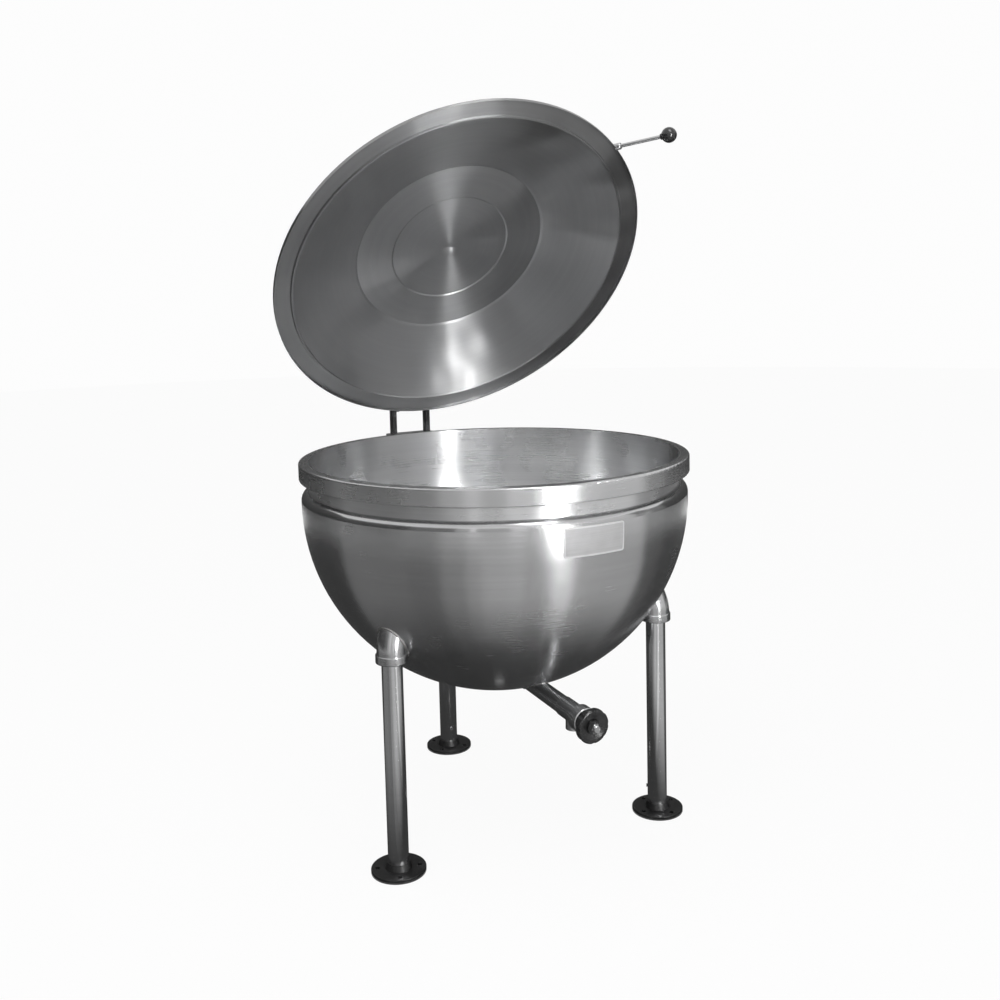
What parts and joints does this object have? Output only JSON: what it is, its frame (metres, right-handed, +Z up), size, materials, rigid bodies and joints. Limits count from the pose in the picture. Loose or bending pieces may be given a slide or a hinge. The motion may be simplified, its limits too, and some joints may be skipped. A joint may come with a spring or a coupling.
{
  "type": "steam jacketed kettle",
  "caption": "Floor standing steam jacketed kettle: hemispherical bowl and full jacket on pipe legs, hinged domed lid held open, tangent draw-off valve with a hand knob.",
  "frame": {"origin": "on the floor, under the vertical axis of the bowl", "axes": "+Z up; -Y is the front, where the draw-off valve and the name plate are; +Y is the hinge side"},
  "size_m": [0.99, 1.0561, 1.7593],
  "materials": {
    "stainless_jacket": "polished, fine horizontal grain",
    "stainless_bowl": "satin, fine horizontal grain",
    "stainless_rim": "satin, grain along the rim",
    "stainless_lid": "spun, circular grain",
    "stainless_legs": "satin tube, grain along the length",
    "stainless_fittings": "satin",
    "dark_steel": "dark, slightly worn",
    "black_iron": "black, smooth casting",
    "black_plastic": "moulded, satin gloss",
    "name_plate": "satin, bare",
    "seal": "soft white seat disc"
  },
  "bodies": {
    "root": {"bowl_crown": "stainless_bowl", "bowl_petal_right": "stainless_bowl", "bowl_petal_rear": "stainless_bowl", "bowl_petal_left": "stainless_bowl", "bowl_petal_front": "stainless_bowl", "bowl_zone": "stainless_bowl", "bowl_band": "stainless_bowl", "jacket_crown": "stainless_jacket", "jacket_zone": "stainless_jacket", "rim_ring": "stainless_rim", "closing_ring": "stainless_jacket", "name_plate": "name_plate", "steam_inlet_coupling": "stainless_fittings", "condensate_coupling": "stainless_fittings", "hinge_bracket": "stainless_fittings", "hinge_post_left": "dark_steel", "hinge_post_right": "dark_steel", "hinge_pin": "stainless_fittings", "leg_set_screws": "dark_steel", "draw_off_tube": "stainless_fittings", "valve_body": "stainless_fittings", "valve_bonnet": "stainless_fittings", "gland_nut": "stainless_fittings", "leg_socket_rear": "stainless_fittings", "leg_socket_front_left": "stainless_fittings", "leg_socket_front_right": "stainless_fittings", "leg_tube_rear": "stainless_legs", "leg_tube_front_left": "stainless_legs", "leg_tube_front_right": "stainless_legs"},
    "lid": {"lid_shell": "stainless_lid", "hinge_arm_left": "stainless_fittings", "hinge_arm_right": "stainless_fittings", "hinge_sleeve": "stainless_fittings", "handle_rod": "stainless_fittings", "handle_boss": "stainless_fittings", "handle_ball": "black_plastic"},
    "valve_stem": {"valve_stem": "stainless_fittings", "valve_plug": "stainless_fittings", "valve_seal": "seal"},
    "valve_knob": {"valve_knob": "black_plastic", "knob_nut": "stainless_fittings"},
    "foot_rear": {"foot_rear": "black_iron"},
    "foot_front_left": {"foot_front_left": "black_iron"},
    "foot_front_right": {"foot_front_right": "black_iron"}
  },
  "joints": [
    {"name": "lid_hinge", "type": "hinge", "parent": "root", "child": "lid", "pos_m": [0, 0.549, 0.9844], "axis": [-1, 0, 0], "range_deg": [-51.5, 43.5]},
    {"name": "valve_stem_slide", "type": "slide", "parent": "root", "child": "valve_stem", "axis": [0, -0.9994, -0.0349], "range_m": [0, 0.024]},
    {"name": "valve_knob_turn", "type": "hinge", "parent": "valve_stem", "child": "valve_knob", "pos_m": [0, -0.43673, 0.36825], "axis": [0, -0.9994, -0.0349], "range_deg": [0, 1080.1]},
    {"name": "foot_rear_level", "type": "slide", "parent": "root", "child": "foot_rear", "axis": [0, 0, -1], "range_m": [0, 0.025]},
    {"name": "foot_front_left_level", "type": "slide", "parent": "root", "child": "foot_front_left", "axis": [0, 0, -1], "range_m": [0, 0.025]},
    {"name": "foot_front_right_level", "type": "slide", "parent": "root", "child": "foot_front_right", "axis": [0, 0, -1], "range_m": [0, 0.025]}
  ],
  "couplings": [
    {"joint": "valve_knob_turn", "follows": "valve_stem_slide", "rad_per_m": 785.4}
  ]
}
